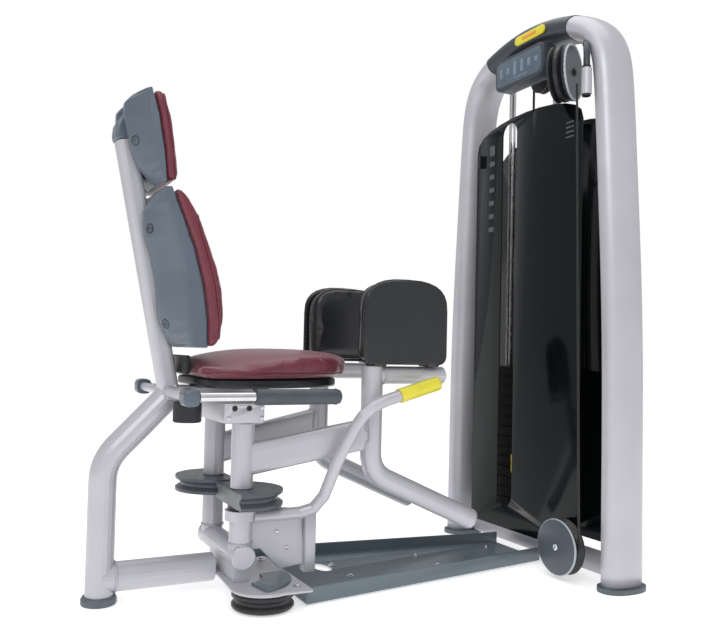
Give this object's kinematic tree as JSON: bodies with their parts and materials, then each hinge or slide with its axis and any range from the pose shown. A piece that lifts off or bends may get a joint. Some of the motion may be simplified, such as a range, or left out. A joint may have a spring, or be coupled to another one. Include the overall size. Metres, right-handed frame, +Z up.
{
  "type": "hip abductor machine",
  "caption": "Seated hip abductor machine: padded seat and back, two coupled swinging knee arms with footrests, a start lever, side grips and a pin-selected weight stack in a tower.",
  "frame": {"origin": "centre of the rear foot's underside, on the floor", "axes": "+X the way the user faces, towards the weight tower; +Y the user's left; +Z up"},
  "size_m": [1.324, 0.7574, 1.5218],
  "materials": {
    "silver_paint": "satin",
    "shell_grey": "satin",
    "tray_grey": "satin",
    "vinyl_burgundy": "satin",
    "vinyl_black": "satin",
    "black_plastic": "satin",
    "stack_iron": "satin",
    "smoked_acrylic": "gloss",
    "yellow_plastic": "gloss",
    "bright_steel": "polished",
    "black_rubber": "matte",
    "foot_rubber": "matte"
  },
  "bodies": {
    "frame": {"seat_frame": "silver_paint", "rear_foot": "foot_rubber", "upright_cap": "shell_grey", "head_bracket": "black_plastic", "back_bracket_upper": "black_plastic", "back_bracket_lower": "black_plastic", "head_shell": "shell_grey", "head_cushion": "vinyl_burgundy", "back_shell": "shell_grey", "back_cushion": "vinyl_burgundy", "seat_cushion": "vinyl_burgundy", "seat_pan": "black_plastic", "seat_rear_plate": "black_plastic", "pivot_head": "silver_paint", "gear_housing": "black_plastic", "handle_elbow_right": "shell_grey", "handle_elbow_left": "shell_grey", "handle_bar_right": "bright_steel", "handle_bar_left": "bright_steel", "handle_grip_right": "black_rubber", "handle_grip_left": "black_rubber", "pivot_base": "silver_paint", "pivot_base_plate": "silver_paint", "gusset_plate": "silver_paint", "sector_plate": "tray_grey", "collar_right": "black_plastic", "collar_left": "black_plastic", "base_tray": "tray_grey", "tower_post_right": "silver_paint", "tower_post_left": "silver_paint", "tower_foot_right": "foot_rubber", "tower_foot_left": "foot_rubber", "top_cap": "shell_grey", "display": "shell_grey", "badge": "yellow_plastic", "tower_crossbar": "silver_paint", "front_shield": "smoked_acrylic", "rear_shield": "smoked_acrylic", "stack_resting": "stack_iron", "guide_rod_right": "bright_steel", "guide_rod_left": "bright_steel", "lift_cable": "black_rubber", "down_cable": "black_rubber"},
    "right_arm": {"arm_frame_right": "silver_paint", "arm_cam_right": "shell_grey", "pad_back_right": "black_plastic", "knee_pad_right": "vinyl_black"},
    "left_arm": {"arm_frame_left": "silver_paint", "arm_cam_left": "shell_grey", "pad_back_left": "black_plastic", "knee_pad_left": "vinyl_black"},
    "lever": {"start_lever": "silver_paint", "lever_grip": "yellow_plastic"},
    "stack": {"stack_lifted": "stack_iron"},
    "pin": {"selector_pin": "yellow_plastic"},
    "top_wheel": {"top_pulley": "black_plastic", "top_pulley_cheek": "shell_grey"},
    "inner_wheel": {"inner_pulley": "black_plastic"},
    "bottom_wheel": {"bottom_pulley": "shell_grey"},
    "base_wheel": {"base_pulley": "black_plastic"}
  },
  "joints": [
    {"name": "stack_lift", "type": "slide", "parent": "frame", "child": "stack", "axis": [0, 0, 1], "range_m": [0, 0.13], "deforming": ["lift_cable"]},
    {"name": "right_arm_swing", "type": "hinge", "parent": "frame", "child": "right_arm", "pos_m": [0.289, -0.107, 0.3], "axis": [0, 0, -1], "range_deg": [0, 50]},
    {"name": "left_arm_swing", "type": "hinge", "parent": "frame", "child": "left_arm", "pos_m": [0.289, 0.107, 0.3], "axis": [0, 0, 1], "range_deg": [0, 50]},
    {"name": "lever_swing", "type": "hinge", "parent": "right_arm", "child": "lever", "pos_m": [0.289, -0.107, 0.197], "axis": [0, 0, -1], "range_deg": [0, 15]},
    {"name": "pin_pull", "type": "slide", "parent": "stack", "child": "pin", "axis": [-1, 0, 0], "range_m": [0, 0.034]},
    {"name": "top_wheel_spin", "type": "hinge", "parent": "frame", "child": "top_wheel", "pos_m": [1.119, -0.262, 1.318], "axis": [-0.4848, 0.8746, 0], "range_deg": [-120, 0]},
    {"name": "inner_wheel_spin", "type": "hinge", "parent": "frame", "child": "inner_wheel", "pos_m": [1.215, -0.0115, 1.395], "axis": [1, 0, 0], "range_deg": [0, 182]},
    {"name": "bottom_wheel_spin", "type": "hinge", "parent": "frame", "child": "bottom_wheel", "pos_m": [1.089, -0.252, 0.0825], "axis": [1, 0, 0], "range_deg": [0, 116]},
    {"name": "base_wheel_spin", "type": "hinge", "parent": "frame", "child": "base_wheel", "pos_m": [0.325, -0.166, 0.023], "axis": [0, 0, 1], "range_deg": [0, 120]}
  ],
  "couplings": [
    {"joint": "right_arm_swing", "follows": "stack_lift", "rad_per_m": 6.7},
    {"joint": "left_arm_swing", "follows": "stack_lift", "rad_per_m": 6.7},
    {"joint": "top_wheel_spin", "follows": "stack_lift", "rad_per_m": -15.87},
    {"joint": "inner_wheel_spin", "follows": "stack_lift", "rad_per_m": 24.1},
    {"joint": "bottom_wheel_spin", "follows": "stack_lift", "rad_per_m": 15.27},
    {"joint": "base_wheel_spin", "follows": "stack_lift", "rad_per_m": 15.87}
  ]
}
